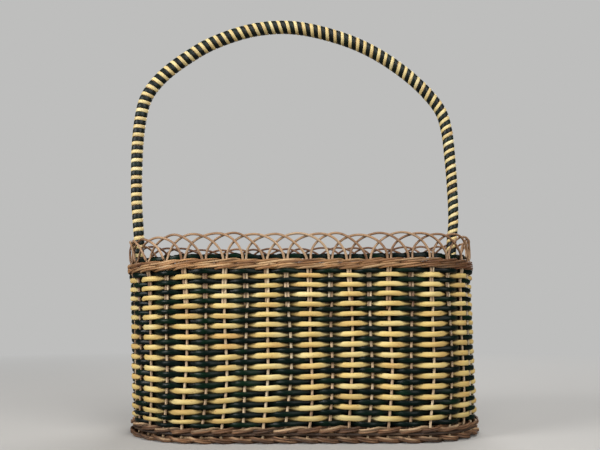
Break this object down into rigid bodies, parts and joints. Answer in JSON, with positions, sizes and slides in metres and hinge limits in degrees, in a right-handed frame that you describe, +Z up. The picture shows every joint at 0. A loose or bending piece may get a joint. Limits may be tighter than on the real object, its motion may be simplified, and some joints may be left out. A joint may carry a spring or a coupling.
{
  "type": "rattan bottle holder",
  "caption": "Oblong woven rattan basket with round ends, a scalloped hoop rim and a tall bow handle wound in two colours, for carrying bottles.",
  "frame": {"origin": "on the ground, under the middle of the basket", "axes": "+Z up, +X along the basket's length towards its right end, -Y towards the front"},
  "size_m": [0.3588, 0.1652, 0.4375],
  "materials": {
    "pale_cane": "satin",
    "tan_cane": "satin",
    "brown_cane": "satin",
    "green_strand": "gloss",
    "yellow_strand": "satin",
    "green_strip": "satin",
    "cream_strip": "satin"
  },
  "bodies": {
    "root": {"stake_01": "pale_cane", "stake_02": "pale_cane", "stake_03": "pale_cane", "stake_04": "pale_cane", "stake_05": "pale_cane", "stake_06": "pale_cane", "stake_07": "pale_cane", "stake_08": "pale_cane", "stake_09": "pale_cane", "stake_10": "pale_cane", "stake_11": "pale_cane", "stake_12": "pale_cane", "stake_13": "pale_cane", "stake_14": "pale_cane", "stake_15": "pale_cane", "stake_16": "pale_cane", "stake_17": "pale_cane", "stake_18": "pale_cane", "stake_19": "pale_cane", "stake_20": "pale_cane", "stake_21": "pale_cane", "stake_22": "pale_cane", "stake_23": "pale_cane", "stake_24": "pale_cane", "stake_25": "pale_cane", "stake_26": "pale_cane", "stake_27": "pale_cane", "stake_28": "pale_cane", "stake_29": "pale_cane", "stake_30": "pale_cane", "stake_31": "pale_cane", "stake_32": "pale_cane", "stake_33": "pale_cane", "stake_34": "pale_cane", "stake_35": "pale_cane", "stake_36": "pale_cane", "stake_37": "pale_cane", "stake_38": "pale_cane", "stake_39": "pale_cane", "stake_40": "pale_cane", "stake_41": "pale_cane", "stake_42": "pale_cane", "stake_43": "pale_cane", "stake_44": "pale_cane", "foot_border": "brown_cane", "foot_twine_outer": "brown_cane", "foot_twine_inner": "brown_cane", "floor_panel": "tan_cane", "rim_twine_outer": "tan_cane", "rim_twine_inner_front": "tan_cane", "rim_twine_inner_back": "tan_cane", "rim_hoops": "tan_cane", "handle_core": "tan_cane", "green_weaver": "green_strand", "yellow_weaver": "yellow_strand", "handle_wrap_green": "green_strip", "handle_wrap_yellow": "cream_strip"}
  },
  "joints": []
}
